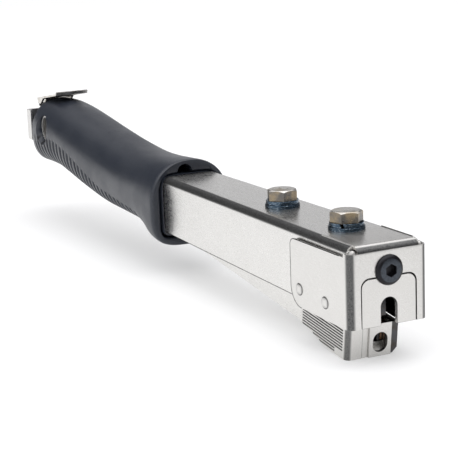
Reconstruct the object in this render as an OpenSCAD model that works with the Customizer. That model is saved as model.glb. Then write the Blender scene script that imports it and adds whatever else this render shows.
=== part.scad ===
// Hammer-action stapler, millimetres. +X towards the striking head, +Z up, Y across.
// The origin is the bottom centre of the resting tool's bounding box.

/* [Body] */
// Outside width of the steel body at the head
body_w = 27.8; // [27:0.2:30]
// Outside width of the steel body at the grip
body_rear_w = 24.0; // [23.6:0.1:26]
// Sheet thickness of the body
sheet_t = 1.5; // [1:0.1:1.6]
// Height of the body at the head
body_h = 24.6; // [23:0.2:26]

/* [Head] */
// Outside width of the wrapped head cap
cap_w = 30.0; // [29.8:0.2:33]
// Height of the head cap
cap_h = 27.2; // [26:0.2:29]
// Length of the cap's side panels
cap_len = 38.5; // [34:0.5:44]
// Width of the arched sight slot
arch_w = 6.2; // [4.5:0.1:8]
// Distance from the head's front to the front bolt
bolt_front_x = 26.0; // [25:0.5:28]
// Distance from the head's front to the rear bolt
bolt_rear_x = 71.0; // [60:0.5:74]
// Hexagon size of the two top bolts, across flats
bolt_af = 10.0; // [9:0.5:11]

/* [Magazine] */
// Downward tilt of the resting magazine, degrees
tilt = 7.0; // [6:0.1:7.5]
// Outside width of the magazine shell
mag_w = 19.2; // [18.4:0.2:19.6]
// Length of the loaded staple strip
strip_len = 60.0; // [30:5:60]

/* [Grip] */
// Outside radius of the eyelet sleeve
eyelet_r = 6.2; // [5:0.1:6.2]

/* [Hidden] */
$fn = 48;
eps = 0.01;
fit_gap = 0.05;              // clearance between fixed neighbours
run_gap = 0.06;              // radial clearance of the swinging magazine on its pins

plated = [0.78, 0.77, 0.75];
dark_steel = [0.24, 0.25, 0.27];
blued = [0.20, 0.24, 0.29];
black = [0.08, 0.08, 0.09];
rubber_blue = [0.27, 0.28, 0.33];
coppery = [0.72, 0.50, 0.33];

// body channel
half_w = body_w / 2;
half_rear = body_rear_w / 2;
grip_x = -150;               // front face of the grip
taper_a = atan((half_w - half_rear) / -grip_x);
bend_r = 2.8;
tang_end = -250;
channel_front = -3.45;       // just behind the cap's folded front

// head cap
cap_t = 1.0;
cap_y = cap_w / 2;
tongue_t = 1.2;
tongue_y = 11.3;
tongue_x = -22.5;
fold_r = 3.0;
wrap_r = 2.8;
panel_top = -3.4;
window_y = 10.6;
window_z = -10.6;
window_r = 3.2;
plate_front = -0.1;
plate_t = 1.5;

// screws, bolts and washers
screw_z = -8.8;
screw_r = 2.95;
hole_r = screw_r + fit_gap;
head_r = 5.1;
flat_t = 1.2;
split_t = 1.4;
bolt_head_t = 3.8;
washer_r = 6.3;
split_r = 5.9;
washer_hole = 3.2;
rivet_x = [-32.6, -15.5];
rivet_z = [-20.3, -21.1];
rivet_r = 2.2;
rivet_shank = 1.2;

// driver and hammer block
blade_x = -10.4;             // front face of the driver blade
blade_t = 1.0;
blade_y = 5.2;
block_y = 11.0;
block_top = -sheet_t - fit_gap;
block_bottom = -10.5;
block_rear = -84;
boss_bottom = -13.6;
boss_rear = -21.6;

// magazine, in its own frame with the pivot as origin
pivot_x = -162;
pivot_z = -12.5;
pin_r = 2.5;
mag_y = mag_w / 2;
mag_t = 1.0;
mag_low = -6.9;
mag_top = 3.6;
shell_x = 122.6;
nose_x = 153.4;
nose_y = 10.2;
nose_low = -9.7;
nose_top = 2.0;
slot_x0 = 150.4;             // driver slot in the nose
slot_x1 = 152.6;
slot_y = 5.45;
rail_y = 4.5;
rail_top = 1.2;
floor_z = mag_low + mag_t;
strip_y = 5.3;
strip_x1 = 150.2;
strip_x0 = strip_x1 - strip_len;
rod_z = -2.9;
rod_r = 1.2;
follower_x1 = strip_x0 - 0.2;
piston_x0 = follower_x1 - 19;
stop_x0 = 16;
stop_x1 = 22;
return_x = 62;               // seat of the return spring along the magazine
guide_y0 = -1.9;             // centre guide plate of the nose
guide_y1 = 6.8;
guide_x1 = 153.9;

// grip tail
eyelet_x = -285.5;
eyelet_z = 3.1;
eyelet_t = 0.8;
eyelet_half = 12.4;
tube_x0 = -304;
tube_x1 = -238;
tube_y = 7.0;
tube_z0 = -12.9;
tube_z1 = -3.3;
tube_t = 0.7;
cap_x0 = -312;               // rear face of the end cap
cap_plate_t = 1.4;
hinge_x = cap_x0 + 1.8;
hinge_z = 11.6;
latch_pin_r = 0.8;

// model origin
front_x = 1.6;               // tip of the front screw's head
z_low = pivot_z - guide_x1 * sin(tilt) + nose_low * cos(tilt);
shift_x = -(front_x + cap_x0) / 2;
shift_z = -z_low;

// ---------- helpers ----------

module place() {
    translate([shift_x, 0, shift_z]) children();
}

module in_magazine() {
    place() translate([pivot_x, 0, pivot_z]) rotate([0, tilt, 0]) children();
}

module box(x0, x1, y0, y1, z0, z1) {
    translate([x0, y0, z0]) cube([x1 - x0, y1 - y0, z1 - z0]);
}

// an outline in X and Z, extruded across Y
module slab(y0, y1) {
    translate([0, y1, 0]) rotate([90, 0, 0]) linear_extrude(y1 - y0) children();
}

module rod_x(x0, x1, y, z, r) {
    translate([x0, y, z]) rotate([0, 90, 0]) cylinder(h = x1 - x0, r = r);
}

module rod_y(y0, y1, x, z, r) {
    translate([x, y0, z]) rotate([-90, 0, 0]) cylinder(h = y1 - y0, r = r);
}

// coil spring standing on Z: radius to the wire's centre, wire radius, height, turns
module coil(r, wire, h, turns) {
    seg = 20;
    ring = 8;
    n = turns * seg;
    rise = h - 2 * wire;
    points = [for (i = [0:n]) for (j = [0:ring - 1])
        let (a = 360 * i / seg, b = 360 * j / ring, rr = r + wire * cos(b))
        [rr * cos(a), rr * sin(a), wire + rise * i / n + wire * sin(b)]];
    walls = [for (i = [0:n - 1]) for (j = [0:ring - 1])
        let (k = (j + 1) % ring, p = i * ring, q = p + ring)
        [p + j, p + k, q + k, q + j]];
    ends = [[for (j = [0:ring - 1]) ring - 1 - j], [for (j = [0:ring - 1]) n * ring + j]];
    polyhedron(points, concat(walls, ends), convexity = 10);
}

// ---------- fixed body ----------

// upper right quarter of the folded channel's section
module fold_section(w) {
    difference() {
        union() {
            translate([-2, -40]) square([w + 2, 40 - bend_r]);
            translate([-2, -bend_r - eps]) square([w + 2 - bend_r, bend_r + eps]);
            translate([w - bend_r, -bend_r]) circle(r = bend_r);
        }
        translate([-3, -41]) square([w + 3 - sheet_t, 41 - sheet_t]);
    }
}

// one side of the channel, narrowing evenly from the head to the end of the tang
module half_channel() {
    intersection() {
        translate([0, half_w, 0]) rotate([0, 0, taper_a]) translate([tang_end - 5, -half_w, 0])
            rotate([90, 0, 90]) linear_extrude(10 - tang_end) fold_section(half_w);
        box(tang_end, channel_front, 0, 30, -40, 1);
    }
}

module channel_underside() {
    slab(-30, 30) polygon([[1, -body_h], [grip_x, 2.2 - body_h], [-164, 2.6 - body_h],
                           [-176, -17.5], [-200, -15.5], [tang_end - 1, -14.3],
                           [tang_end - 1, -60], [1, -60]]);
}

// space the channel takes inside the grip, wider by gap
module tang_space(gap) {
    difference() {
        box(tang_end - gap, grip_x + 1, -half_rear - gap, half_rear + gap, -30, gap);
        translate([0, 0, -gap]) channel_underside();
    }
}

module frame_channel() {
    color(plated) place() difference() {
        union() {
            half_channel();
            mirror([0, 1, 0]) half_channel();
        }
        channel_underside();
        box(tongue_x - fit_gap, 1, -tongue_y - fit_gap, tongue_y + fit_gap, -sheet_t - 1, 1);
        for (x = [bolt_front_x, bolt_rear_x])
            translate([-x, 0, -5]) cylinder(h = 6, r = hole_r);
        rod_y(-20, 20, pivot_x, pivot_z, pin_r + 0.02);
        for (i = [0, 1]) rod_y(-20, 20, rivet_x[i], rivet_z[i], rivet_shank + fit_gap);
    }
}

// block with a folded top edge and two wrapped vertical edges at its front
module cap_block(front, half, top, r_top, r_side, rear) {
    intersection() {
        slab(-half, half) union() {
            translate([rear, -60]) square([front - rear, 60 + top - r_top]);
            translate([rear, top - r_top - eps]) square([front - rear - r_top, r_top + eps]);
            translate([front - r_top, top - r_top]) circle(r = r_top);
        }
        translate([0, 0, -60]) linear_extrude(70) union() {
            translate([rear, -half]) square([front - rear - r_side, 2 * half]);
            translate([rear, -half + r_side]) square([front - rear, 2 * (half - r_side)]);
            for (s = [-1, 1]) translate([front - r_side, s * (half - r_side)]) circle(r = r_side);
        }
    }
}

module window_outline(half, top, r) {
    translate([-half, -60]) square([2 * half, 60 + top - r]);
    translate([-half + r, top - r - eps]) square([2 * (half - r), r + eps]);
    for (s = [-1, 1]) translate([s * (half - r), top - r]) circle(r = r);
}

// side panel outline in X and Z, with a small upper and a large lower rear corner
module panel_outline() {
    r_low = 7;
    r_high = 2.5;
    rise = 0.6;
    translate([-cap_len, -cap_h + rise + r_low])
        square([cap_len + 1, cap_h - rise - r_low + panel_top - r_high]);
    translate([-cap_len + r_high, panel_top - r_high - eps]) square([cap_len, r_high + eps]);
    translate([-cap_len + r_high, panel_top - r_high]) circle(r = r_high);
    intersection() {
        translate([-cap_len + r_low, -cap_h + rise + r_low]) circle(r = r_low);
        translate([-cap_len, -cap_h]) square([r_low, r_low + rise]);
    }
    polygon([[-cap_len + r_low - eps, -cap_h + rise + r_low + eps],
             [-cap_len + r_low - eps, -cap_h + rise], [-3, -cap_h],
             [1, -cap_h], [1, -cap_h + rise + r_low + eps]]);
}

module front_cap() {
    side = cap_y - cap_t;
    color(plated) place() difference() {
        intersection() {
            difference() {
                cap_block(0, cap_y, 0, fold_r, wrap_r, -cap_len - 1);
                cap_block(-cap_t, side, -tongue_t, fold_r - cap_t, wrap_r - cap_t,
                          -cap_len - 2);
            }
            union() {
                slab(-cap_y - 1, cap_y + 1) panel_outline();
                box(tongue_x, 1, -tongue_y, tongue_y, -cap_h, 1);
                box(-3.4, 1, -cap_y - 1, cap_y + 1, -cap_h, panel_top + 1.2);
            }
        }
        box(-cap_len - 3, -3.4, -side - 0.001, -tongue_y, -cap_h - 1, 1);
        box(-cap_len - 3, -3.4, tongue_y, side + 0.001, -cap_h - 1, 1);
        translate([-3, 0, 0]) rotate([90, 0, 90]) linear_extrude(4)
            window_outline(window_y, window_z, window_r);
        rod_x(-4, 1, 0, screw_z, hole_r);
        translate([-bolt_front_x, 0, -5]) cylinder(h = 6, r = hole_r + 0.3);
        for (i = [0, 1]) rod_y(-20, 20, rivet_x[i], rivet_z[i], rivet_shank + fit_gap);
    }
}

module front_plate() {
    arch_r = arch_w / 2;
    arch_z = -17.9 - arch_r;
    color(plated) place() difference() {
        translate([plate_front - plate_t, 0, 0]) rotate([90, 0, 90]) linear_extrude(plate_t)
            window_outline(window_y - 0.35, window_z - 0.5, window_r - 0.2);
        box(-5, 1, -20, 20, -61, -cap_h);
        rod_x(-5, 1, 0, arch_z, arch_r);
        box(-5, 1, -arch_r, arch_r, -40, arch_z);
        rod_x(-5, 1, 0, screw_z, hole_r);
    }
}

module spacer_block() {
    back = blade_x + fit_gap;
    face = plate_front - plate_t - fit_gap;
    color(dark_steel) place() difference() {
        union() {
            box(back, face, -9, 9, -14.5, -3.4);
            box(face - eps, -cap_t - fit_gap, -9, 9, window_z + 0.2, -3.4);
        }
        rod_x(-20, 1, 0, screw_z, hole_r);
    }
}

module driver_blade() {
    color(dark_steel) place() difference() {
        box(blade_x - blade_t, blade_x, -blade_y, blade_y, -cap_h, -3.0);
        rod_x(-20, 1, 0, screw_z, hole_r);
    }
}

module hammer_block() {
    face = blade_x - blade_t - fit_gap;
    color(dark_steel) place() difference() {
        union() {
            box(block_rear, face, -block_y, block_y, block_bottom, block_top);
            box(boss_rear, face, -8, 8, boss_bottom, block_top - 2);
        }
        rod_x(-21.2, 1, 0, screw_z, hole_r);
        for (x = [bolt_front_x, bolt_rear_x])
            translate([-x, 0, -30]) cylinder(h = 31, r = hole_r);
    }
}

module front_screw() {
    head_t = front_x;
    color(black) place() translate([0, 0, screw_z]) difference() {
        union() {
            rotate([0, 90, 0]) rotate_extrude()
                polygon([[0, 0], [head_r, 0], [head_r, 0.4], [head_r - 0.3, 0.9],
                         [head_r - 0.8, 1.3], [head_r - 1.5, head_t], [0, head_t]]);
            rod_x(-21, eps, 0, 0, screw_r);
        }
        translate([head_t - 1.9, 0, 0]) rotate([0, 90, 0]) cylinder(h = 3, r = 2.2, $fn = 6);
    }
}

module hex_bolt() {
    r = bolt_af / 2 / cos(30);
    z0 = flat_t + split_t;
    z1 = z0 + bolt_head_t;
    intersection() {
        translate([0, 0, z0]) cylinder(h = bolt_head_t, r = r, $fn = 6);
        rotate_extrude() polygon([[0, z0], [r, z0], [r, z1 - 0.55], [bolt_af * 0.475, z1],
                                  [0, z1]]);
    }
    translate([0, 0, block_bottom + 0.2]) cylinder(h = z0 - block_bottom, r = screw_r);
}

module bolt_front() {
    color(plated) place() translate([-bolt_front_x, 0, 0]) rotate([0, 0, 12]) hex_bolt();
}

module bolt_rear() {
    color(plated) place() translate([-bolt_rear_x, 0, 0]) rotate([0, 0, 38]) hex_bolt();
}

module flat_washer() {
    difference() {
        cylinder(h = flat_t, r = washer_r);
        translate([0, 0, -1]) cylinder(h = flat_t + 2, r = washer_hole);
    }
}

module spring_washer() {
    translate([0, 0, flat_t]) difference() {
        cylinder(h = split_t, r = split_r);
        translate([0, 0, -1]) cylinder(h = split_t + 2, r = washer_hole);
        rotate([0, 0, -38]) translate([0, -0.5, -1]) rotate([25, 0, 0]) cube([9, 1.0, 6]);
    }
}

module flat_washer_front() {
    color(blued) place() translate([-bolt_front_x, 0, 0]) flat_washer();
}

module flat_washer_rear() {
    color(blued) place() translate([-bolt_rear_x, 0, 0]) flat_washer();
}

module spring_washer_front() {
    color(blued) place() translate([-bolt_front_x, 0, 0]) spring_washer();
}

module spring_washer_rear() {
    color(blued) place() translate([-bolt_rear_x, 0, 0]) rotate([0, 0, 110]) spring_washer();
}

// two domed rivets through one side panel
module rivet_pair() {
    color(plated) for (i = [0, 1]) translate([rivet_x[i], 0, rivet_z[i]]) rotate([90, 0, 0]) {
        rotate_extrude() polygon([[0, cap_y], [rivet_r, cap_y], [rivet_r - 0.1, cap_y + 0.15],
                                  [rivet_r - 0.5, cap_y + 0.28], [0, cap_y + 0.32]]);
        translate([0, 0, half_w - sheet_t - 0.2])
            cylinder(h = cap_y - half_w + sheet_t + 0.3, r = rivet_shank);
    }
}

module rivets_left() {
    place() rivet_pair();
}

module rivets_right() {
    place() mirror([0, 1, 0]) rivet_pair();
}

module pivot_stub() {
    color(dark_steel) rod_y(mag_y - mag_t + 0.05, half_rear - 0.3, pivot_x, pivot_z, pin_r);
}

module pivot_pin_left() {
    place() mirror([0, 1, 0]) pivot_stub();
}

module pivot_pin_right() {
    place() pivot_stub();
}

return_at = pivot_x + return_x * cos(tilt) + mag_top * sin(tilt);
return_low = pivot_z - return_x * sin(tilt) + mag_top * cos(tilt);

module return_spring() {
    foot = return_low + 0.6;
    color(dark_steel) place() translate([return_at, 0, foot])
        coil(4.0, 0.55, -sheet_t - fit_gap - foot, 6);
}

module bumper() {
    color(black) place()
        box(-64, -44, -7, 7, block_bottom - 1.0, block_bottom - fit_gap);
}

// grip sections: X, top Z, bottom Z, half width, roundness of the upper and lower half
grip_table = [[-150.0, 5.6, -28.6, 16.7, 2.2, 3.6], [-151.5, 5.9, -29.2, 17.5, 2.2, 3.6],
              [-158.0, 5.5, -28.6, 17.4, 2.2, 3.4], [-165.0, 5.1, -26.6, 17.0, 2.2, 2.8],
              [-175.0, 4.6, -24.6, 16.5, 2.2, 2.5], [-192.0, 4.7, -23.8, 16.1, 2.2, 2.5],
              [-215.0, 6.9, -23.2, 15.7, 2.2, 2.5], [-237.0, 9.8, -20.8, 15.5, 2.2, 2.5],
              [-258.0, 12.8, -17.6, 15.4, 2.2, 2.5], [-272.0, 14.7, -15.6, 15.3, 2.2, 2.5],
              [-285.0, 15.9, -15.2, 15.2, 2.2, 2.5], [-294.0, 16.0, -15.3, 14.9, 2.2, 2.5],
              [-300.0, 15.3, -15.6, 14.2, 2.2, 2.5], [-304.0, 13.2, -15.8, 12.9, 2.2, 2.5],
              [-307.0, 9.0, -15.2, 10.4, 2.2, 2.5], [-308.6, 4.0, -13.6, 7.0, 2.2, 2.5]];
grip_steps = 4;
grip_round = 44;

function blend4(a, b, c, d, t) = 0.5 * (2 * b + (c - a) * t + (2 * a - 5 * b + 4 * c - d) * t * t
                                        + (3 * b - a - 3 * c + d) * t * t * t);
function grip_row(i) = grip_table[min(max(i, 0), len(grip_table) - 1)];
function grip_at(k) = let (i = floor(k / grip_steps), t = k / grip_steps - i)
    blend4(grip_row(i - 1), grip_row(i), grip_row(i + 1), grip_row(i + 2), t);
function power_of(v, p) = sign(v) * pow(abs(v), p);

module grip_solid() {
    last = (len(grip_table) - 1) * grip_steps;
    points = [for (k = [0:last]) for (j = [0:grip_round - 1])
        let (s = grip_at(k), a = 360 * j / grip_round, p = 2 / (sin(a) >= 0 ? s[4] : s[5]),
             mid = (s[1] + s[2]) / 2, half = (s[1] - s[2]) / 2)
        [s[0], s[3] * power_of(cos(a), p), mid + half * power_of(sin(a), p)]];
    walls = [for (k = [0:last - 1]) for (j = [0:grip_round - 1])
        let (m = (j + 1) % grip_round, a = k * grip_round, b = a + grip_round)
        [a + j, b + j, b + m, a + m]];
    ends = [[for (j = [0:grip_round - 1]) j],
            [for (j = [0:grip_round - 1]) last * grip_round + grip_round - 1 - j]];
    polyhedron(points, concat(ends, walls), convexity = 6);
}

module grip() {
    gap = 0.1;
    pocket_x = -159;           // back of the hollow behind the collar
    pocket_y = half_rear + 1.2;
    lip_y = half_rear + 0.3;
    shoulder_z = -5;           // above this the hollow narrows with the collar's round top
    notch_r = 3.3;
    color(rubber_blue) place() difference() {
        grip_solid();
        tang_space(gap);
        box(pocket_x, grip_x + 1, -pocket_y, pocket_y, -25.4, shoulder_z);
        box(pocket_x, grip_x + 1, -lip_y, lip_y, shoulder_z - 1, 0.3);
        rod_x(pocket_x - 4, grip_x + 1, -2.0, 1.0, notch_r);
        box(tube_x0 - gap, tube_x1 + gap, -tube_y - gap, tube_y + gap,
            tube_z0 - gap, tube_z1 + gap);
        box(cap_x0, tube_x0 + 1, -tube_y + 0.3, tube_y - 0.3, tube_z0 + 0.3, tube_z1 - 0.3);
        rod_y(-30, 30, eyelet_x, eyelet_z, eyelet_r + 0.1);
    }
}

module eyelet() {
    color(plated) place() difference() {
        rod_y(-eyelet_half, eyelet_half, eyelet_x, eyelet_z, eyelet_r);
        rod_y(-eyelet_half - 1, eyelet_half + 1, eyelet_x, eyelet_z, eyelet_r - eyelet_t);
    }
}

module loading_tube() {
    color(plated) place() difference() {
        box(tube_x0, tube_x1, -tube_y, tube_y, tube_z0, tube_z1);
        box(tube_x0 - 1, tube_x1 + 1, -tube_y + tube_t, tube_y - tube_t,
            tube_z0 + tube_t, tube_z1 - tube_t);
    }
}

// ---------- swinging magazine ----------

module magazine_shell() {
    color(plated) in_magazine() difference() {
        slab(-mag_y, mag_y) union() {
            circle(r = mag_low * -1);
            polygon([[0, mag_low], [shell_x, mag_low], [shell_x, mag_top], [8, mag_top],
                     [0, 6.9]]);
        }
        box(-9, shell_x + 1, -mag_y + mag_t, mag_y - mag_t, mag_low + mag_t, 9);
        box(-9, -3.5, -mag_y + mag_t, mag_y - mag_t, mag_low - 1, 9);
        box(-9, 30, -mag_y - 1, mag_y + 1, 5.2, 9);
        rod_y(-20, 20, 0, 0, pin_r + run_gap);
    }
}

module magazine_cover() {
    color(plated) in_magazine()
        box(26, shell_x - 0.4, -mag_y + mag_t + fit_gap, mag_y - mag_t - fit_gap,
            mag_top - 1.0, mag_top);
}

module nose_outline() {
    polygon([[shell_x + 0.1, mag_low], [130, -7.7], [134, -8.7], [138, -9.4],
             [142, nose_low], [nose_x, nose_low], [nose_x, nose_top], [136.5, nose_top],
             [135, mag_top - 0.2], [shell_x + 0.1, mag_top - 0.2]]);
}

module nose_body() {
    corner = 2.2;
    rib_pitch = 1.0;
    rib_n = 11;
    rib_w = 0.42;
    color(plated) in_magazine() difference() {
        intersection() {
            slab(-nose_y, nose_y) nose_outline();
            translate([0, 0, -20]) linear_extrude(40) union() {
                translate([100, -nose_y]) square([nose_x - 100 - corner, 2 * nose_y]);
                translate([100, -nose_y + corner]) square([nose_x - 100, 2 * nose_y - corner]);
                translate([nose_x - corner, -nose_y + corner]) circle(r = corner);
            }
        }
        box(100, slot_x1 - eps, -slot_y - 0.05, slot_y + 0.05, floor_z, 9);
        box(slot_x0, slot_x1, -slot_y - 0.05, slot_y + 0.05, -20, 9);
        box(slot_x1 - 1, 160, -4.3, 12, -20, 9);
        box(140, 160, guide_y1, 12, -20, 9);
        for (i = [0:rib_n - 1]) for (s = [-1, 1])
            translate([0, s * nose_y, 2.2 - i * rib_pitch - rib_pitch])
                rotate([45, 0, 0]) translate([shell_x + 1.2, -rib_w / 2, -rib_w / 2])
                    cube([i < 9 ? 27 : 22, rib_w, rib_w]);
    }
}

module nose_plate() {
    mid = 2.45;
    slot_r = 2.75;
    slot_z = -4.7;
    color(plated) in_magazine() difference() {
        union() {
            box(slot_x1 + fit_gap, guide_x1, guide_y0, guide_y1 - fit_gap, nose_low, nose_top);
            box(slot_x1 + fit_gap, guide_x1 - 0.7, guide_y0 - 2.25, guide_y0 + 1, nose_low,
                nose_top);
        }
        for (s = [-1, 1]) rod_x(150, 156, mid, slot_z + s * 0.7, slot_r);
        box(150, 156, mid - slot_r, mid + slot_r, slot_z - 0.7, slot_z + 0.7);
    }
}

module nose_block() {
    color(dark_steel) in_magazine() difference() {
        box(140 + fit_gap, 153.2, guide_y1 + fit_gap, 9.6, nose_low, nose_top - 0.4);
        translate([139, 9.6, nose_low]) rotate([45, 0, 0]) translate([0, -1.3, -1.3])
            cube([16, 2.6, 2.6]);
    }
}

module staple_rail() {
    color(dark_steel) in_magazine() difference() {
        box(stop_x0, slot_x0 - 0.3, -rail_y, rail_y, floor_z, rail_top);
        box(stop_x0 - 1, slot_x0 + 1, -rail_y + 1, rail_y - 1, floor_z - 1, rail_top - 1);
        box(30, slot_x0 - 8, -0.9, 0.9, -9, 9);
    }
}

module staple_strip() {
    pitch = 1.25;
    crown_t = 0.65;
    leg_low = -5.6;
    color(coppery) in_magazine() difference() {
        box(strip_x0, strip_x1, -strip_y, strip_y, leg_low, rail_top + fit_gap + crown_t);
        box(strip_x0 - 1, strip_x1 + 1, -rail_y - 0.1, rail_y + 0.1, leg_low - 1,
            rail_top + fit_gap);
        for (x = [strip_x0 + pitch:pitch:strip_x1 - 0.5])
            box(x - 0.08, x + 0.08, -strip_y - 1, strip_y + 1,
                rail_top + fit_gap + crown_t - 0.18, 9);
    }
}

module follower_rod() {
    color(plated) in_magazine() rod_x(stop_x0 + 1, slot_x0 - 4, 0, rod_z, rod_r);
}

module rear_stop() {
    color(dark_steel) in_magazine() difference() {
        box(stop_x0, stop_x1, -rail_y + 1.05, rail_y - 1.05, floor_z + fit_gap,
            rail_top - 1.05);
        rod_x(stop_x0 - 1, stop_x1 + 1, 0, rod_z, rod_r + 0.02);
    }
}

module follower_spring() {
    color(plated) in_magazine() translate([stop_x1 + 0.1, 0, rod_z]) rotate([0, 90, 0])
        coil(2.15, 0.4, piston_x0 - stop_x1 - 0.2, 14);
}

module follower() {
    low = -5.4;
    color(dark_steel) in_magazine() {
        difference() {
            box(follower_x1 - 13, follower_x1, -6.4, 6.4, low, 2.3);
            box(follower_x1 - 14, follower_x1 + 1, -rail_y - 0.3, rail_y + 0.3, low - 1,
                rail_top + 0.3);
        }
        difference() {
            box(piston_x0, follower_x1, -0.6, 0.6, -1.2, 2.0);
            rod_x(piston_x0 - 1, follower_x1 + 1, 0, rod_z, 2.6);
        }
        difference() {
            rod_x(piston_x0, piston_x0 + 14, 0, rod_z, 2.7);
            rod_x(piston_x0 - 1, piston_x0 + 15, 0, rod_z, rod_r + 0.08);
        }
    }
}

// ---------- rear loader ----------

module end_cap() {
    half = 12.5;
    depth = 5.5;
    wall = 1.0;
    low = -5.0;
    high = hinge_z - 1.9;      // just below the latch's knuckle
    tongue = 6.5;
    ear_y = 4.0;
    color(plated) place() difference() {
        union() {
            difference() {
                box(cap_x0, cap_x0 + depth, -half, half, low, high);
                box(cap_x0 + cap_plate_t, cap_x0 + depth + 1, -half + wall, half - wall,
                    low - 1, high + 1);
            }
            box(cap_x0, cap_x0 + cap_plate_t, -tongue, tongue, -13.0, low + 1);
            for (s = [-1, 1]) translate([0, s * (ear_y + 0.75) - 0.75, 0]) {
                box(cap_x0, cap_x0 + cap_plate_t, 0, 1.5, high - 1, hinge_z);
                rod_y(0, 1.5, hinge_x, hinge_z, 1.8);
            }
        }
        rod_y(-20, 20, hinge_x, hinge_z, latch_pin_r + 0.02);
    }
}

module loader_rail() {
    rail_x1 = -192;
    color(plated) place() difference() {
        box(cap_x0 + cap_plate_t, rail_x1, -5.2, 5.2, -11.6, -4.6);
        box(cap_x0 + 8, rail_x1 - 8, -4.2, 4.2, -12, -5.6);
    }
}

module latch_pin() {
    color(dark_steel) place() rod_y(-6.4, 6.4, hinge_x, hinge_z, latch_pin_r);
}

// spring-steel strip from the hinge over the grip's tail
module latch_path() {
    polygon([[hinge_x, hinge_z + 0.8], [hinge_x + 0.6, hinge_z + 3.0], [hinge_x + 2.2, 15.4],
             [-282.0, 19.6], [-281.2, 20.6], [-280.4, 20.4], [-281.2, 18.9],
             [hinge_x + 2.6, 14.5], [hinge_x + 1.6, hinge_z + 1.2]]);
}

module latch() {
    neck = 3.6;
    half = 8.0;
    cheek = 1.0;
    color(plated) place() difference() {
        union() {
            slab(-neck, neck) latch_path();
            rod_y(-neck, neck, hinge_x, hinge_z, 1.8);
            slab(-half, half) intersection() {
                latch_path();
                translate([hinge_x + 2.4, 0]) square([40, 30]);
            }
            for (s = [-1, 1]) translate([0, s * (half - cheek / 2) - cheek / 2, 0])
                slab(0, cheek) polygon([[hinge_x + 2.6, 12.8], [hinge_x + 2.6, 14.9],
                                        [hinge_x + 11, 16.2], [hinge_x + 6.5, 12.8]]);
        }
        rod_y(-20, 20, hinge_x, hinge_z, latch_pin_r + 0.05);
        box(cap_x0 - 1, hinge_x + 1.4, -2.0, 2.0, -9, hinge_z + 1.75);
    }
}

// bent wire that keeps the latch down
module latch_spring() {
    color(plated) place() difference() {
        slab(-1.8, 1.8) polygon([[hinge_x + 1.0, hinge_z + 1.1], [hinge_x + 0.4, hinge_z + 1.0],
                                 [hinge_x + 0.1, hinge_z - 3.0], [hinge_x + 0.7, hinge_z - 3.0]]);
        slab(-0.9, 0.9) translate([hinge_x - 3, hinge_z - 2.2]) square([6, 2.6]);
        rod_y(-20, 20, hinge_x, hinge_z, latch_pin_r + 0.05);
    }
}

// ---------- choose what to draw ----------

frame_channel();
front_cap();
front_plate();
spacer_block();
driver_blade();
hammer_block();
front_screw();
bolt_front();
bolt_rear();
spring_washer_front();
spring_washer_rear();
flat_washer_front();
flat_washer_rear();
rivets_left();
rivets_right();
pivot_pin_left();
pivot_pin_right();
return_spring();
bumper();
grip();
eyelet();
loading_tube();
magazine_shell();
magazine_cover();
nose_body();
nose_plate();
nose_block();
staple_rail();
staple_strip();
follower_rod();
rear_stop();
follower_spring();
follower();
end_cap();
loader_rail();
latch_pin();
latch();
latch_spring();
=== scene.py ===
"""Looks of a hammer tacker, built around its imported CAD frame."""

import math

import bmesh
import bpy
import numpy as np
from mathutils import Matrix, Vector


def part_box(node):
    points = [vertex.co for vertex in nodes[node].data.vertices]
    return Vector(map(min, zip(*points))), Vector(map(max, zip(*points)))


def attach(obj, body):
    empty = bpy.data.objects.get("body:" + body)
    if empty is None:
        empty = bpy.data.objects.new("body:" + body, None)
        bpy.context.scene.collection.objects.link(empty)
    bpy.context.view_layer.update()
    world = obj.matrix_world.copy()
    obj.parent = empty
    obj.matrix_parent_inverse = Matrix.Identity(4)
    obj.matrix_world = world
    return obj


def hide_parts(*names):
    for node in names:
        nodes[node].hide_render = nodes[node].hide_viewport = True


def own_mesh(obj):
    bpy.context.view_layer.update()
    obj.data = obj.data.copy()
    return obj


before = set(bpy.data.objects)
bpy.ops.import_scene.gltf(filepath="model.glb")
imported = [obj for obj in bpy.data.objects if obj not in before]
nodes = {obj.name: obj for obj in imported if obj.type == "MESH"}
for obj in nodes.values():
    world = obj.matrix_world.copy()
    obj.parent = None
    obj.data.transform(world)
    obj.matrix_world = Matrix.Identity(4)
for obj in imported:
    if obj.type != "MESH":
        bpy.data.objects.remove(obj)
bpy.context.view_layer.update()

MM = 0.001
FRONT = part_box("front_cap")[1].x  # front plane of the head
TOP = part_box("frame_channel")[1].z  # top plane of the body
GROOVE_PITCH = 4.5  # finger grooves of the grip, millimetres
GROOVE_START = -172.0
PIVOT = (-162, 0, -12.5)  # hinge of the magazine, millimetres
TILT = math.radians(7.0)  # downward slope of the magazine
ALONG = Vector((math.cos(TILT), 0, -math.sin(TILT)))  # direction of the magazine
ACROSS = Vector((math.sin(TILT), 0, math.cos(TILT)))  # its upward normal
CRISP = math.radians(28)  # edges of CAD nodes that bend more than this are rounded
SIDES = ((-1, "left"), (1, "right"))  # direction along Y and name of each side
FLOOR_REACH = 6.0  # half the width of the floor, metres


def at(x, y, z):
    """A point in millimetres from the middle of the head's top front edge."""
    return Vector((FRONT + x * MM, y * MM, TOP + z * MM))


# ---------- camera, light and floor ----------


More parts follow.
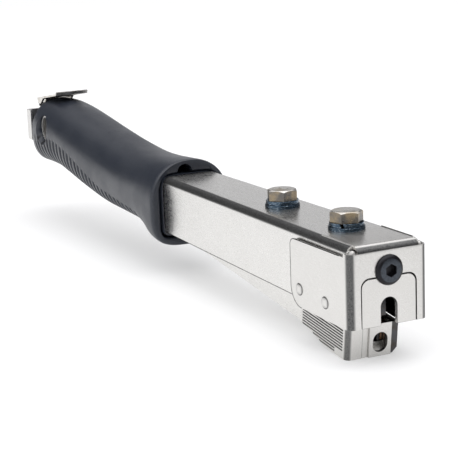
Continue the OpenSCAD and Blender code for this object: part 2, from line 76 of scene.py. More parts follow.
def add_camera():
    """A view from the front left and a little above, rolled slightly."""
    azimuth, elevation, roll = (math.radians(v) for v in (63.9, 12.57, -2.1))
    aim = at(-26.3, -43.7, 5.5)
    distance = 0.4922
    back = Vector(
        (
            math.sin(azimuth) * math.cos(elevation),
            -math.cos(azimuth) * math.cos(elevation),
            math.sin(elevation),
        )
    )
    level = Vector((math.cos(azimuth), math.sin(azimuth), 0))
    right = level * math.cos(roll) + back.cross(level) * math.sin(roll)
    turn = Matrix((right, back.cross(right), back)).transposed()
    data = bpy.data.cameras.new("camera")
    data.sensor_width = 36
    data.lens = 120.2
    data.clip_start = 0.02
    camera = bpy.data.objects.new("camera", data)
    camera.matrix_world = Matrix.Translation(aim + back * distance) @ turn.to_4x4()
    bpy.context.scene.collection.objects.link(camera)
    bpy.context.scene.camera = camera


def add_softbox(name, place, target, size, power):
    """A rectangular light of size metres and power watts, turned towards target."""
    data = bpy.data.lights.new(name, "AREA")
    data.shape = "RECTANGLE"
    data.size, data.size_y = size
    data.energy = power
    light = bpy.data.objects.new(name, data)
    direction = Vector(place) - Vector(target)
    turn = direction.to_track_quat("Z", "Y").to_matrix().to_4x4()
    light.matrix_world = Matrix.Translation(place) @ turn
    bpy.context.scene.collection.objects.link(light)


def add_world():
    """A studio: bright ceiling, dark walls and one grey patch of wall to the rear right."""
    world = bpy.data.worlds.new("studio")
    world.use_nodes = True
    bpy.context.scene.world = world
    tree = world.node_tree
    background = tree.nodes["Background"]
    direction = tree.nodes.new("ShaderNodeTexCoord").outputs["Generated"]

    def value(kind, a, b=None, **settings):
        node = tree.nodes.new(kind)
        for key, setting in settings.items():
            setattr(node, key, setting)
        for socket, item in zip(node.inputs, (a, b)):
            if isinstance(item, bpy.types.NodeSocket):
                tree.links.new(item, socket)
            elif item is not None:
                socket.default_value = item
        return node

    def ramp(fac, stops):
        node = tree.nodes.new("ShaderNodeValToRGB")
        node.color_ramp.interpolation = "EASE"
        while len(node.color_ramp.elements) < len(stops):
            node.color_ramp.elements.new(0.5)
        for element, (position, level) in zip(node.color_ramp.elements, stops):
            element.position = position
            element.color = (level, level, level * 1.02, 1)
        tree.links.new(fac, node.inputs["Fac"])
        return node.outputs["Color"]

    height = value("ShaderNodeSeparateXYZ", direction).outputs["Z"]
    walls = ramp(height, [(0.0, 0.30), (0.03, 0.05), (0.56, 0.05), (0.70, 1.0)])
    to_patch = Vector((-0.872, 0.452, 0.19)).normalized()
    facing = value("ShaderNodeVectorMath", direction, to_patch, operation="DOT_PRODUCT")
    grey = ramp(facing.outputs["Value"], [(0.955, 0.0), (0.992, 0.46)])
    mix = tree.nodes.new("ShaderNodeMix")
    mix.data_type = "RGBA"
    mix.blend_type = "LIGHTEN"
    mix.inputs[0].default_value = 1.0
    tree.links.new(walls, mix.inputs[6])
    tree.links.new(grey, mix.inputs[7])
    tree.links.new(mix.outputs[2], background.inputs["Color"])
    background.inputs["Strength"].default_value = 1.5


# ---------- materials ----------


class Graph:
    """A material's node tree, with short calls for the nodes that are used here."""

    def __init__(self, name, **fixed):
        self.material = bpy.data.materials.new(name)
        self.material.use_nodes = True
        self.tree = self.material.node_tree
        self.shader = self.tree.nodes["Principled BSDF"]
        for socket, value in fixed.items():
            self.shader.inputs[socket.replace("_", " ")].default_value = value
        self.where = self.add("ShaderNodeTexCoord")

    def add(self, kind, inputs=None, **settings):
        node = self.tree.nodes.new(kind)
        for key, setting in settings.items():
            setattr(node, key, setting)
        for socket, value in (inputs or {}).items():
            if isinstance(value, bpy.types.NodeSocket):
                self.tree.links.new(value, node.inputs[socket])
            else:
                node.inputs[socket].default_value = value
        return node

    def noise(self, grain, detail=3.0, stretch=(1, 1, 1), rough=0.55):
        """Noise whose features are about grain millimetres, longer where stretch is above 1."""
        scale = [1 / (grain * MM * s) for s in stretch]
        here = self.where.outputs["Object"]
        spot = self.add("ShaderNodeMapping", {"Vector": here, "Scale": scale})
        inputs = {"Vector": spot.outputs[0], "Scale": 1.0, "Detail": detail, "Roughness": rough}
        return self.add("ShaderNodeTexNoise", inputs).outputs[0]

    def axis(self, letter, kind="Object"):
        return self.add("ShaderNodeSeparateXYZ", {0: self.where.outputs[kind]}).outputs[letter]

    def math(self, operation, a, b=0.0):
        return self.add("ShaderNodeMath", {0: a, 1: b}, operation=operation).outputs[0]

    def remap(self, value, low, high, to_low=0.0, to_high=1.0):
        inputs = {0: value, 1: low, 2: high, 3: to_low, 4: to_high}
        return self.add("ShaderNodeMapRange", inputs, interpolation_type="SMOOTHSTEP").outputs[0]

    def fold(self, first, second):
        """1 where the surface bends between two axes, 0 where it is flat."""
        a, b = self.axis(first, "Normal"), self.axis(second, "Normal")
        product = self.math("ABSOLUTE", self.math("MULTIPLY", a, b))
        return self.math("MULTIPLY", product, 2.0)

    def mix(self, factor, a, b, blend="MIX"):
        node = self.add("ShaderNodeMix", {0: factor}, data_type="RGBA", blend_type=blend)
        for socket, value in ((6, a), (7, b)):
            if isinstance(value, bpy.types.NodeSocket):
                self.tree.links.new(value, node.inputs[socket])
            else:
                node.inputs[socket].default_value = (*value, 1)
        return node.outputs[2]

    def bump(self, height, depth, strength=1.0, under=None):
        """A bump whose full height is depth millimetres."""
        inputs = {"Height": height, "Distance": depth * MM, "Strength": strength}
        if under is not None:
            inputs["Normal"] = under
        return self.add("ShaderNodeBump", inputs).outputs[0]

    def finish(self, color, roughness, normal=None):
        links = self.tree.links
        links.new(color, self.shader.inputs["Base Color"])
        links.new(roughness, self.shader.inputs["Roughness"])
        if normal is not None:
            links.new(normal, self.shader.inputs["Normal"])
        return self.material


def plated_steel(name, sand=0.25, bend_shade=0.9, stretch=(12, 1, 1)):
    """Satin nickel plating: fine streaks, sandy speckle, painted dark reflection in rough bends,
    painted shade inside.
    """
    g = Graph(name, Metallic=1.0)
    streaks = g.noise(0.25, 2.0, stretch)
    speckle = g.noise(0.30, 2.0, rough=0.7)
    clouds = g.noise(14.0, 2.0)
    # painted dark reflection: these masks find the rounded bends, which are darkened below by
    # bend_shade
    upright = g.remap(g.fold("X", "Y"), 0.10, 0.85)
    lengthwise = g.remap(g.fold("Y", "Z"), 0.10, 0.60)
    downturn = g.remap(g.axis("Z", "Normal"), 0.78, 0.95, 1.0, 0.0)
    crosswise = g.math("MULTIPLY", g.remap(g.fold("X", "Z"), 0.20, 0.60), downturn)
    bend = g.math("MAXIMUM", g.math("MAXIMUM", upright, lengthwise), crosswise)
    plating = g.mix(clouds, (0.69, 0.68, 0.66), (0.74, 0.73, 0.71))
    plating = g.mix(g.remap(speckle, 0.35, 0.75, 0.0, sand), plating, (0.50, 0.48, 0.45))
    shadow = g.math("MULTIPLY", bend, g.remap(speckle, 0.30, 0.62, bend_shade, bend_shade * 0.8))
    plating = g.mix(shadow, plating, (0.020, 0.022, 0.025))
    # painted shade: faces that look inward, towards the middle, from a few millimetres out are
    # darkened
    facing_in = g.math("MULTIPLY", g.axis("Y"), g.axis("Y", "Normal"))
    inside = g.remap(facing_in, -6.0 * MM, -3.5 * MM, 0.9, 0.0)
    plating = g.mix(inside, plating, (0.05, 0.048, 0.045))
    shine = g.remap(streaks, 0.3, 0.7, 0.24, 0.33)
    shine = g.math("ADD", shine, g.remap(speckle, 0.3, 0.7, 0.0, 0.22 * sand))
    shine = g.math("ADD", shine, g.math("MULTIPLY", bend, 0.12))
    grain = g.bump(speckle, 0.016 * (0.08 + sand), 0.5)
    grain = g.bump(streaks, 0.004, 0.4, grain)
    return g.finish(plating, shine, grain)


def bright_bolt(name):
    """Zinc that is light on top, with warm patches on the sides, which are painted darker as
    shade.
    """
    g = Graph(name, Metallic=1.0)
    patches = g.noise(4.5, 2.0)
    scratches = g.noise(0.18, 2.0, (1, 6, 1))
    face = g.mix(g.remap(patches, 0.45, 0.70), (0.58, 0.56, 0.53), (0.46, 0.41, 0.33))
    # painted shade: faces that turn away from straight up get the darker side colour
    side = g.remap(g.axis("Z", "Normal"), 0.35, 0.8, 1.0, 0.0)
    warm = g.remap(patches, 0.35, 0.65)
    edge = g.mix(warm, (0.06, 0.055, 0.05), (0.26, 0.20, 0.12))
    face = g.mix(g.math("MULTIPLY", side, 0.85), face, edge)
    shine = g.remap(scratches, 0.3, 0.7, 0.22, 0.42)
    return g.finish(face, shine, g.bump(g.noise(0.5, 3.0), 0.03, 0.6))


def blued_steel(name):
    """Blue-black washers with lighter worn streaks."""
    g = Graph(name, Metallic=1.0)
    wear = g.remap(g.noise(0.9, 3.0, (1, 1, 0.25)), 0.52, 0.72)
    colour = g.mix(wear, (0.055, 0.085, 0.12), (0.42, 0.50, 0.58))
    shine = g.remap(g.noise(0.3, 2.0), 0.3, 0.7, 0.14, 0.30)
    return g.finish(colour, shine, g.bump(g.noise(0.4, 2.0, (1, 1, 0.3)), 0.02, 0.6))


def black_oxide(name):
    """Black oxide screw whose flat front ring is painted blue-grey as a reflection."""
    g = Graph(name, Metallic=0.6)
    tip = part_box("front_screw")[1].x
    # painted reflection: the flat front face, facing along X, is made lighter blue-grey
    flat = g.remap(g.axis("X"), tip - 0.25 * MM, tip - 0.05 * MM)
    flat = g.math("MULTIPLY", flat, g.remap(g.axis("X", "Normal"), 0.8, 0.97))
    flat = g.math("MULTIPLY", flat, g.remap(g.noise(0.8, 4.0), 0.25, 0.6, 0.55, 1.0))
    colour = g.mix(flat, (0.010, 0.010, 0.013), (0.06, 0.07, 0.085))
    shine = g.remap(g.noise(0.35, 3.0), 0.3, 0.7, 0.28, 0.46)
    return g.finish(colour, shine, g.bump(g.noise(0.22, 2.0), 0.012, 0.5))


def tool_steel(name, tone=0.16):
    """Ground tool steel with upright grinding lines and brownish oil stains."""
    g = Graph(name, Metallic=1.0)
    lines = g.noise(0.16, 2.0, (1, 1, 9))
    stain = g.remap(g.noise(5.0, 3.0), 0.45, 0.7)
    colour = g.mix(stain, (tone, tone, tone * 1.05), (tone * 0.8, tone * 0.66, tone * 0.5))
    shine = g.remap(lines, 0.3, 0.7, 0.28, 0.48)
    return g.finish(colour, shine, g.bump(lines, 0.012, 0.6))


def spring_steel(name):
    """Bright wire and strip, with draw marks along the tool."""
    g = Graph(name, Metallic=1.0)
    marks = g.noise(0.2, 3.0, (8, 1, 1))
    colour = g.mix(g.remap(g.noise(3.0, 3.0), 0.35, 0.7), (0.74, 0.72, 0.68), (0.50, 0.46, 0.40))
    return g.finish(colour, g.remap(marks, 0.3, 0.7, 0.16, 0.34), g.bump(marks, 0.01, 0.5))


def staple_wire(name):
    """Copper-washed staple wire, with dark cross lines like those between staples."""
    g = Graph(name, Metallic=1.0)
    joints = g.remap(g.noise(0.5, 1.0, (0.4, 30, 30)), 0.40, 0.55)
    colour = g.mix(joints, (0.38, 0.22, 0.13), (0.80, 0.56, 0.40))
    return g.finish(colour, g.remap(joints, 0.0, 1.0, 0.45, 0.25), g.bump(joints, 0.03, 0.6))


def moulded_rubber(name, tone=1.0, grain=0.32, depth=0.045, shine=0.36, grooves=False):
    """Blue-grey moulded rubber with a fine pebbled skin and, if asked, painted shade in the
    grooves.
    """
    g = Graph(name, IOR=1.5)
    pebbles = g.noise(grain, 2.0, rough=0.6)
    polish = g.noise(16.0, 3.0)
    base = [c * tone for c in (0.012, 0.016, 0.024)]
    dusty = [c * tone for c in (0.026, 0.030, 0.042)]
    colour = g.mix(g.remap(pebbles, 0.35, 0.70), base, dusty)
    roughness = g.remap(polish, 0.3, 0.7, shine - 0.05, shine + 0.06)
    roughness = g.math("ADD", roughness, g.remap(pebbles, 0.3, 0.7, -0.05, 0.08))
    if grooves:
        dark = groove_shade(g)
        # painted shade: inside the grooves the rubber is darkened almost to black
        colour = g.mix(dark, colour, (0.002, 0.002, 0.003))
        roughness = g.math("ADD", roughness, g.math("MULTIPLY", dark, 0.4))
    return g.finish(colour, roughness, g.bump(pebbles, depth, 0.8))


def groove_shade(g):
    """1 inside the grip's finger grooves, whose upper ends follow two smooth ramps."""
    tail_x, bend_x, collar_x = (FRONT + x * MM for x in (-281, -212, GROOVE_START))
    tail_drop, collar_drop = -14.0 * MM, -4.0 * MM  # fall of the line over each ramp
    x = g.math("SUBTRACT", g.axis("X"), collar_x)
    turn = g.math("FRACT", g.math("DIVIDE", x, GROOVE_PITCH * MM))
    phase = g.math("ABSOLUTE", g.math("SUBTRACT", turn, 0.5))
    slot = g.remap(phase, 0.12, 0.24, 1.0, 0.0)
    rear = g.remap(g.axis("X"), tail_x, bend_x, 0.0, tail_drop)
    fore = g.remap(g.axis("X"), bend_x, collar_x, 0.0, collar_drop)
    line = g.math("ADD", g.math("ADD", rear, fore), TOP)
    below = g.math("SUBTRACT", line, g.axis("Z"))
    reach = g.remap(below, 0.0, 2.0 * MM)
    first = g.remap(g.axis("X"), FRONT - 298 * MM, FRONT - 295 * MM)
    last = g.remap(g.axis("X"), collar_x, collar_x + 2.0 * MM, 1.0, 0.0)
    return g.math("MULTIPLY", g.math("MULTIPLY", slot, reach), g.math("MULTIPLY", first, last))


def floor_paint(name):
    """Pale studio floor, lit slightly from within so that shadows on it stay soft."""
    g = Graph(name, Specular_IOR_Level=0.15, Emission_Strength=0.42)
    g.shader.inputs["Emission Color"].default_value = (1, 1, 1, 1)
    clouds = g.noise(400.0, 2.0)
    colour = g.mix(clouds, (0.54, 0.54, 0.54), (0.56, 0.56, 0.56))
    return g.finish(colour, g.remap(clouds, 0.3, 0.7, 0.75, 0.85))


# ---------- mesh helpers ----------


def face_outward(mesh):
    """Turns the faces of a closed mesh outward, as the cuts and the shading need."""
    work = bmesh.new()
    work.from_mesh(mesh)
    bmesh.ops.recalc_face_normals(work, faces=work.faces)
    if work.calc_volume(signed=True) < 0:
        bmesh.ops.reverse_faces(work, faces=work.faces)
    work.to_mesh(mesh)
    work.free()


def new_piece(name, vertices, faces, material, smooth=40, solid=True):
    """A mesh object from vertices in metres; edges sharper than smooth degrees stay crisp."""
    mesh = bpy.data.meshes.new(name)
    mesh.from_pydata([tuple(v) for v in vertices], [], faces)
    mesh.validate()
    mesh.update()
    if solid:
        face_outward(mesh)
    mesh.shade_smooth()
    mesh.set_sharp_from_angle(angle=math.radians(smooth))
    mesh.materials.append(material)
    piece = bpy.data.objects.new(name, mesh)
    bpy.context.scene.collection.objects.link(piece)
    return piece


def loft(sections, closed=False):
    """Vertices and faces of the skin through equal rings of points, with flat ends."""
    rings, count = len(sections), len(sections[0])
    vertices = [p for section in sections for p in section]
    faces = []
    for k in range(rings if closed else rings - 1):
        a, b = k * count, (k + 1) % rings * count
        for j in range(count):
            m = (j + 1) % count
            faces.append((a + j, b + j, b + m, a + m))
    if not closed:
        faces.append(tuple(range(count)))
        faces.append(tuple((rings - 1) * count + j for j in reversed(range(count))))
    return vertices, faces


def tube(points, radius, sides=12):
    """A round wire along points, as vertices and faces."""
    points = [Vector(p) for p in points]
    side = None
    sections = []
    for i, point in enumerate(points):
        ahead = points[min(i + 1, len(points) - 1)] - points[max(i - 1, 0)]
        ahead.normalize()
        if side is None:
            side = ahead.orthogonal().normalized()
        side = (side - ahead * side.dot(ahead)).normalized()
        up = ahead.cross(side)
        ring = []
        for j in range(sides):
            turn = 2 * math.pi * j / sides
            ring.append(point + (side * math.cos(turn) + up * math.sin(turn)) * radius)
        sections.append(ring)
    return loft(sections)


def baked(piece):
    """Applies the piece's modifiers to its mesh."""
    bpy.context.view_layer.update()
    evaluated = piece.evaluated_get(bpy.context.evaluated_depsgraph_get())
    mesh = bpy.data.meshes.new_from_object(evaluated)
    piece.modifiers.clear()
    piece.data = mesh
    return piece


def cut_away(piece, cutter):
    """Removes the cutter's volume from the piece, and the cutter."""
    cut = piece.modifiers.new("cut", "BOOLEAN")
    cut.operation = "DIFFERENCE"
    cut.solver = "EXACT"
    cut.object = cutter
    baked(piece)
    bpy.data.objects.remove(cutter)


# ---------- carried-over CAD nodes ----------


def clean_up_group():
    """Joins the split faces of an imported mesh and shades it by the angle of its edges."""
    group = bpy.data.node_groups.new("clean_up", "GeometryNodeTree")
    group.interface.new_socket("Geometry", in_out="INPUT", socket_type="NodeSocketGeometry")
    group.interface.new_socket("Geometry", in_out="OUTPUT", socket_type="NodeSocketGeometry")

    def step(kind, before, **settings):
        node = group.nodes.new(kind)
        for key, setting in settings.items():
            setattr(node, key, setting)
        if before is not None:
            group.links.new(before, node.inputs[0])
        return node

    start = group.nodes.new("NodeGroupInput")
    plain = step("GeometryNodeRemoveAttribute", start.outputs[0])
    plain.inputs["Name"].default_value = "custom_normal"
    joined = step("GeometryNodeMergeByDistance", plain.outputs[0])
    joined.inputs["Distance"].default_value = 0.001 * MM
    faces = step("GeometryNodeSetShadeSmooth", joined.outputs[0])
    edges = step("GeometryNodeSetShadeSmooth", faces.outputs[0], domain="EDGE")
    angle = group.nodes.new("GeometryNodeInputMeshEdgeAngle")
    shallow = step("ShaderNodeMath", angle.outputs[0], operation="LESS_THAN")
    shallow.inputs[1].default_value = CRISP
    group.links.new(shallow.outputs[0], edges.inputs["Selection"])
    end = group.nodes.new("NodeGroupOutput")
    group.links.new(edges.outputs[0], end.inputs[0])
    return group


clean_up = clean_up_group()


def dress(names, material, edge=0.12, segments=2):
    """Gives CAD nodes a material and rounds their crisp edges by edge millimetres."""
    for name in names:
        node = nodes[name]
        node.data.materials.clear()
        node.data.materials.append(material)
        node.modifiers.new("clean_up", "NODES").node_group = clean_up
        flat = node.modifiers.new("flat_faces", "DECIMATE")
        flat.decimate_type = "DISSOLVE"
        flat.angle_limit = math.radians(0.5)
        rounded = node.modifiers.new("edges", "BEVEL")
        rounded.width = edge * MM
        rounded.segments = segments
        rounded.limit_method = "ANGLE"
        rounded.angle_limit = CRISP
        rounded.harden_normals = True


def dress_metal():
    """Materials and edges of every CAD node that is kept."""
    body = plated_steel("plated_body", sand=0.04, bend_shade=0.97)
    cap = plated_steel("plated_cap", sand=0.35, bend_shade=0.97)
    magazine = plated_steel("plated_magazine", sand=0.10)
    nose = plated_steel("plated_nose", sand=0.35, stretch=(14, 1, 1))
    inner = plated_steel("plated_inner", sand=0.2, bend_shade=0.3)
    steel = tool_steel("ground_steel")
    dark = tool_steel("dark_steel", tone=0.09)
    springy = spring_steel("spring_strip")
    dress(["frame_channel"], body, 0.15)
    dress(["front_cap"], cap, 0.18)
    dress(["front_plate"], cap, 0.15)
    dress(["magazine_shell", "magazine_cover"], magazine, 0.15)
    dress(["nose_body", "nose_plate"], nose, 0.15)
    dress(["rivets_left", "rivets_right"], nose, 0.08)
    dress(["eyelet", "loading_tube", "loader_rail", "end_cap"], inner, 0.12)
    dress(["spacer_block", "hammer_block", "staple_rail", "rear_stop"], steel, 0.15)
    dress(["driver_blade", "nose_block", "follower"], dark, 0.12)
    dress(["pivot_pin_left", "pivot_pin_right", "latch_pin"], steel, 0.1)
    dress(["follower_rod", "latch", "latch_spring"], springy, 0.06)
    dress(["bolt_front", "bolt_rear"], bright_bolt("zinc_bolt"), 0.12)
    kinds, places = ("flat_washer_", "spring_washer_"), ("front", "rear")
    washers = [kind + place for kind in kinds for place in places]
    dress(washers, blued_steel("blued_washer"), 0.14, 3)
    dress(["front_screw"], black_oxide("oxide_screw"), 0.12)
    dress(["staple_strip"], staple_wire("copper_staples"), 0.05, 1)
    dress(["bumper"], moulded_rubber("bumper_skin", tone=0.4, shine=0.6), 0.3, 3)


# ---------- grip ----------

# sections of the grip: X, top Z, bottom Z, half width, roundness of the upper and lower half
# (2 is an ellipse, higher is squarer), in millimetres
GRIP_ROWS = [
    (-150.0, 5.6, -28.6, 16.7, 2.2, 3.6),
    (-151.5, 5.9, -29.2, 17.5, 2.2, 3.6),
    (-158.0, 5.5, -28.6, 17.4, 2.2, 3.4),
    (-165.0, 5.1, -26.6, 17.0, 2.2, 2.8),
    (-175.0, 4.6, -24.6, 16.5, 2.2, 2.5),
    (-192.0, 4.7, -23.8, 16.1, 2.2, 2.5),
    (-215.0, 6.9, -23.2, 15.7, 2.2, 2.5),
    (-237.0, 9.8, -20.8, 15.5, 2.2, 2.5),
    (-258.0, 12.8, -17.6, 15.4, 2.2, 2.5),
    (-272.0, 14.7, -15.6, 15.3, 2.2, 2.5),
    (-285.0, 15.9, -15.2, 15.2, 2.2, 2.5),
    (-294.0, 16.0, -15.3, 14.9, 2.2, 2.5),
    (-300.0, 15.3, -15.6, 14.2, 2.2, 2.5),
    (-304.0, 13.2, -15.8, 12.9, 2.2, 2.5),
    (-307.0, 9.0, -15.2, 10.4, 2.2, 2.5),
    (-308.6, 4.0, -13.6, 7.0, 2.2, 2.5),
]
GRIP_ROUND = 208  # points round a section
GRIP_STEP = 0.5  # spacing of the sections, millimetres
EYELET = (-285.5, 3.1)  # X and Z of the hole through the tail


def between(a, b, c, d, t):
    """The smooth curve from b to c whose neighbours are a and d."""
    cubic = (3 * b - a - 3 * c + d) * t**3
    return 0.5 * (2 * b + (c - a) * t + (2 * a - 5 * b + 4 * c - d) * t * t + cubic)


def grip_section(place):
    """Section of the grip at a place counted in rows of GRIP_ROWS."""
    rows = np.array(GRIP_ROWS)
    i = min(int(place), len(rows) - 2)
    near = [rows[min(max(i + k, 0), len(rows) - 1)] for k in (-1, 0, 1, 2)]
    return between(*near, place - i)


def squircle(half_y, low, high, count, upper, lower):
    """Ring of (y, z) points whose upper and lower half each have their own roundness."""
    turn = np.arange(count) * 2 * math.pi / count
    c, s = np.cos(turn), np.sin(turn)
    power = np.where(s >= 0, upper, lower)
    y = half_y * np.sign(c) * np.abs(c) ** (2 / power)
    z = (high + low) / 2 + (high - low) / 2 * np.sign(s) * np.abs(s) ** (2 / power)
    return np.stack([y, z], axis=1)


def smooth_step(value, low, high):
    """0 below low, 1 above high, and a smooth ramp between them."""
    t = np.clip((value - low) / (high - low), 0, 1)
    return t * t * (3 - 2 * t)


def groove_depth(x, z):
    """Depth of the finger grooves, millimetres: fine slots round the underside."""
    deepest = 1.4
    phase = np.abs((x - GROOVE_START) / GROOVE_PITCH % 1.0 - 0.5)  # 0 in the middle of a groove
    slot = 1 - smooth_step(phase, 0.12, 0.26)
    spots = [-300, -281, -266, -253, -240, -226, -212, -172, -168]
    upper_end = np.interp(x, spots, [-5, 0.5, -0.3, -2.9, -6.3, -10, -13.5, -17.5, -24])
    below = smooth_step(-z, -upper_end, -upper_end + 2.2)
    along = smooth_step(x, -299.0, -296.0) * (1 - smooth_step(x, -171.5, -169.0))
    from_eyelet = np.hypot(x - EYELET[0], z - EYELET[1])
    clear = smooth_step(from_eyelet, 8.0, 10.0)  # a plain ring stays round the hole
    return deepest * slot * below * along * clear


def grip_skin():
    """Outer skin of the grip as an array of rings, with the finger grooves pressed in."""
    places = [0.0]
    while places[-1] < len(GRIP_ROWS) - 1:
        i = min(int(places[-1]), len(GRIP_ROWS) - 2)
        gap = GRIP_ROWS[i][0] - GRIP_ROWS[i + 1][0]
        step = min(GRIP_STEP, gap / 4) / gap
        places.append(min(places[-1] + step, len(GRIP_ROWS) - 1.0))
    rings = []
    for place in places:
        x, top, bottom, half, upper, lower = grip_section(place)
        ring = squircle(half, bottom, top, GRIP_ROUND, upper, lower)
        rings.append(np.column_stack([np.full(GRIP_ROUND, x), ring]))
    skin = np.array(rings)
    around = np.roll(skin, -1, axis=1) - np.roll(skin, 1, axis=1)
    forward = np.gradient(skin, axis=0)
    normal = np.cross(forward, around)
    normal /= np.linalg.norm(normal, axis=2, keepdims=True) + 1e-9
    spokes = skin[:, :, 1:] - skin[:, :, 1:].mean(1, keepdims=True)
    outward = np.sign((normal[:, :, 1:] * spokes).sum(2))
    depth = groove_depth(skin[:, :, 0], skin[:, :, 2])
    return skin - normal * (outward * depth)[:, :, None]


def ring_at(x, half_y, low, high, upper, lower):
    """One section of the grip's inside, as GRIP_ROUND points."""
    ring = squircle(half_y, low, high, GRIP_ROUND, upper, lower)
    return np.column_stack([np.full(GRIP_ROUND, x), ring])


def rounded_box(x0, x1, half_y, low, high):
    """Skin of a box with round corners along X, in millimetres."""
    count, power = 96, 8.0
    ring = squircle(half_y, low, high, count, power, power)
    return [np.column_stack([np.full(count, x), ring]) for x in (x0, x1)]


def closing_rings(ring):
    """Rings that shrink to the middle of a flat end, so that no large face closes it."""
    middle = ring.mean(axis=0)
    return [middle + (ring - middle) * share for share in (0.9, 0.75, 0.6, 0.45, 0.3, 0.15, 0.05)]


def in_world(sections):
    """The same sections with every point passed through at()."""
    return [[at(*point) for point in section] for section in sections]


def build_grip():
    skin = list(grip_skin())
    # X, half width, bottom Z, top Z and roundness of the upper and lower half: from deep
    # inside, along the steel, out over the collar's pocket to the rim
    inside = [
        ring_at(-172.0, 12.1, -19.4, 0.1, 12, 12),
        ring_at(-164.0, 12.1, -22.4, 0.1, 12, 12),
        ring_at(-159.0, 12.1, -22.6, 0.1, 12, 12),
        ring_at(-159.0, 13.2, -25.4, 0.6, 6, 9),
        ring_at(-151.2, 13.3, -25.5, 0.7, 6, 9),
        ring_at(-150.5, 13.6, -25.8, 1.0, 5, 8),
        ring_at(-150.1, 14.1, -26.3, 1.7, 4, 7),
    ]
    inside = closing_rings(inside[0])[::-1] + inside
    skin = skin + closing_rings(skin[-1])
    vertices, faces = loft(in_world(inside + skin))
    rubber = moulded_rubber("grip_skin", grooves=True)
    grip = new_piece("grip_moulding", vertices, faces, rubber, smooth=50)
    # a wide bay for the loading tube, and a narrower mouth through the tail for the rail
    for name, x0, x1, half_y, low, high in (
        ("tube_bay", -304.4, -171.0, 7.1, -13.0, -3.35),
        ("rail_mouth", -320.0, -303.0, 5.7, -12.0, -4.1),
    ):
        cutter = new_piece(name, *loft(in_world(rounded_box(x0, x1, half_y, low, high))), rubber)
        cut_away(grip, cutter)
    notch_line = [at(x, -2.0, 1.0) for x in (-163, -145)]
    notch = new_piece("notch", *tube(notch_line, 3.3 * MM, 48), rubber)
    cut_away(grip, notch)
    # Y and radius of the eyelet's hole, which flares out at both sides of the grip
    flare = [(-18.0, 8.3), (-15.4, 8.0), (-14.3, 7.0), (-13.3, 6.45), (-12.4, 6.32)]
    flare = flare + [(-y, r) for y, r in reversed(flare)]
    sides = 72
    turns = [2 * math.pi * j / sides for j in range(sides)]
    eye = [
        [(EYELET[0] + r * math.cos(t), y, EYELET[1] + r * math.sin(t)) for t in turns]
        for y, r in flare
    ]
    hole = new_piece("eyelet_hole", *loft(in_world(eye)), rubber)
    cut_away(grip, hole)
    grip.data.shade_smooth()
    grip.data.set_sharp_from_angle(angle=math.radians(50))
    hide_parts("grip")
    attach(grip, "frame")


# ---------- springs and small wire parts ----------


def coil_points(start, axis, side, radius, height, turns):
    """Centre line of a helix that rises more slowly near both ends."""
    steps = 28  # points in one turn
    other = axis.cross(side)
    points = []
    for i in range(int(turns * steps) + 1):
        t = i / (turns * steps)
        rise = smooth_step(t, -0.08, 1.08) * 0.35 + t * 0.65
        turn = 2 * math.pi * i / steps
        spoke = side * math.cos(turn) + other * math.sin(turn)
        points.append(start + axis * (rise * height) + spoke * radius)
    return points


def build_springs():
    wire = spring_steel("spring_wire")
    low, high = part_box("return_spring")
    radius, gauge = 4.0 * MM, 0.55 * MM
    inset = 1.2 * gauge  # keeps the end turns inside the CAD spring's length
    foot = Vector(((low.x + high.x) / 2, 0, low.z + inset))
    height = high.z - low.z - 2 * inset
    up = Vector((0, 0, 1))
    points = coil_points(foot, up, Vector((1, 0, 0)), radius, height, 6)
    coil = new_piece("return_coil", *tube(points, gauge), wire, 60)
    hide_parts("return_spring")
    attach(coil, "frame")
    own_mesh(coil)

    low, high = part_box("follower_spring")
    radius, gauge = 2.15 * MM, 0.4 * MM
    middle = (low + high) / 2
    width = 2 * (radius + gauge)
    length = (high.x - low.x - width * math.sin(TILT)) / math.cos(TILT)
    start = middle - ALONG * (length / 2 - gauge)
    points = coil_points(start, ALONG, ACROSS, radius, length - 2 * gauge, 14)
    coil = new_piece("follower_coil", *tube(points, gauge, 10), wire, 60)
    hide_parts("follower_spring")
    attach(coil, "magazine")
    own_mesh(coil)


def fit_extra(piece, body="frame"):
    """A small piece with no CAD node of its own."""
    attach(piece, body)


def build_tongue_edges():
    """Raised, rounded edges along both sides of the cap's tongue."""
    edge_y, edge_z, radius = 11.5, -0.08, 0.34
    rear_x, front_x = -22.3, -3.2
    bright = plated_steel("plated_edge", sand=0.1, bend_shade=0.2)
    for side, label in SIDES:
        path = [at(x, side * edge_y, edge_z) for x in np.linspace(rear_x, front_x, 24)]
        bar = new_piece("tongue_edge_" + label, *tube(path, radius * MM, 16), bright)
        fit_extra(bar)


def build_corner_welds():
    """Two overlapping weld beads in each of the cap's upper front corners."""
    beads = [(-1.9, 12.6, -2.7, 1.5), (-3.2, 12.9, -2.6, 1.2)]  # X, Y, Z and radius
    bead = plated_steel("weld_bead", sand=0.8, bend_shade=0.5)
    for side, label in SIDES:
        mesh = bmesh.new()
        for x, y, z, size in beads:
            spot = Matrix.Translation(at(x, side * y, z))
            bmesh.ops.create_icosphere(mesh, subdivisions=4, radius=size * MM, matrix=spot)
        data = bpy.data.meshes.new("weld_" + label)
        mesh.to_mesh(data)
        mesh.free()
        data.shade_smooth()
        data.materials.append(bead)
        piece = bpy.data.objects.new("weld_" + label, data)
        bpy.context.scene.collection.objects.link(piece)
        fit_extra(piece)


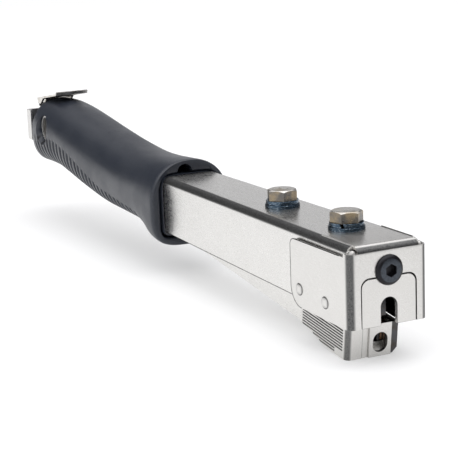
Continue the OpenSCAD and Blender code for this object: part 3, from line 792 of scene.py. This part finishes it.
def build_collar_lip():
    """Inner rubber lip of the collar, round the steel body."""
    rubber = moulded_rubber("lip_skin", tone=0.8, grain=0.6, depth=0.02)
    sections = [
        ring_at(-158.6, 12.9, -24.6, 0.45, 6, 9),
        ring_at(-149.9, 12.9, -24.6, 0.45, 6, 9),
        ring_at(-149.5, 12.7, -24.3, 0.35, 6, 9),
        ring_at(-149.5, 12.3, -23.2, 0.18, 9, 9),
        ring_at(-150.0, 12.15, -22.9, 0.12, 12, 12),
        ring_at(-158.6, 12.15, -22.9, 0.12, 12, 12),
    ]
    lip = new_piece("collar_lip", *loft(in_world(sections), closed=True), rubber, 50)
    fit_extra(lip)


def build_gap_shadows():
    """Dark tubes as painted shadow: in the gaps round the cap's side panels and along the body's
    lower edges.
    """
    low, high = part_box("front_cap")
    panel_y = (high.y - low.y) / 2 / MM - 0.08
    # nearly black colour for the painted gap shadows
    gap_shade = tool_steel("seam_shadow", tone=0.03)
    outline = [(-6.0, -3.4)]  # X and Z round a panel, from its upper front end
    # X, Z and radius of a rounded corner, then its first and last angle and the step
    corners = ((-36.0, -5.9, 2.5, 90, 180, 15), (-31.5, -19.6, 7.0, 180, 270, 10))
    for x, z, radius, first, last, step in corners:
        turns = [math.radians(a) for a in range(first, last + 1, step)]
        outline += [(x + radius * math.cos(a), z + radius * math.sin(a)) for a in turns]
    # the body's lower edge narrows and rises from the front end to the collar
    collar_x, front_y, front_z = -150, 13.9, -24.6
    narrowing, rise = 1.9, 2.2
    shares = np.linspace(0.26, 0.995, 12)
    for side, label in SIDES:
        path = [at(x, side * panel_y, z) for x, z in outline]
        shadow_line = new_piece("panel_gap_shadow_" + label, *tube(path, 0.16 * MM, 8), gap_shade)
        fit_extra(shadow_line)
        edge = [
            at(collar_x * t, side * (front_y - narrowing * t), front_z + rise * t) for t in shares
        ]
        shadow_line = new_piece("lower_edge_shadow_" + label, *tube(edge, 0.11 * MM, 8), gap_shade)
        fit_extra(shadow_line)


def build_guide_flange():
    """Thin flange on the nose, between the hammer block and the body's far wall."""
    pivot = at(*PIVOT)
    rear, fore = 126.0, 151.0  # its ends, millimetres along the magazine from the pivot
    # Y, and height above the pivot across the magazine
    profile = [(9.5, 1.9), (10.1, 1.9), (10.1, 3.9), (11.75, 3.9)]
    profile += [(11.75, 13.0), (11.2, 13.0), (11.2, 4.5), (9.5, 4.5)]
    sections = []
    for along in (rear, fore):
        ring = [pivot + ALONG * along * MM + ACROSS * z * MM for y, z in profile]
        sections.append([Vector((p.x, y * MM, p.z)) for p, (y, z) in zip(ring, profile)])
    flange = new_piece("guide_flange", *loft(sections), tool_steel("flange_steel", tone=0.03), 20)
    fit_extra(flange, "magazine")


add_camera()
add_world()
add_softbox("left_softbox", (0.10, -1.30, 0.75), target=(0, 0, 0.05), size=(2.6, 1.6), power=12)
add_softbox("ceiling_softbox", (0.35, 0.15, 1.6), target=(0, 0, 0), size=(1.6, 1.6), power=9)
dress_metal()
build_grip()
build_springs()
build_tongue_edges()
build_corner_welds()
build_collar_lip()
build_gap_shadows()
build_guide_flange()

corners = [(x * FLOOR_REACH, y * FLOOR_REACH, 0) for x, y in ((-1, -1), (1, -1), (1, 1), (-1, 1))]
floor = new_piece("floor", corners, [(0, 1, 2, 3)], floor_paint("floor_paint"), solid=False)
bpy.context.scene.view_settings.view_transform = "Standard"
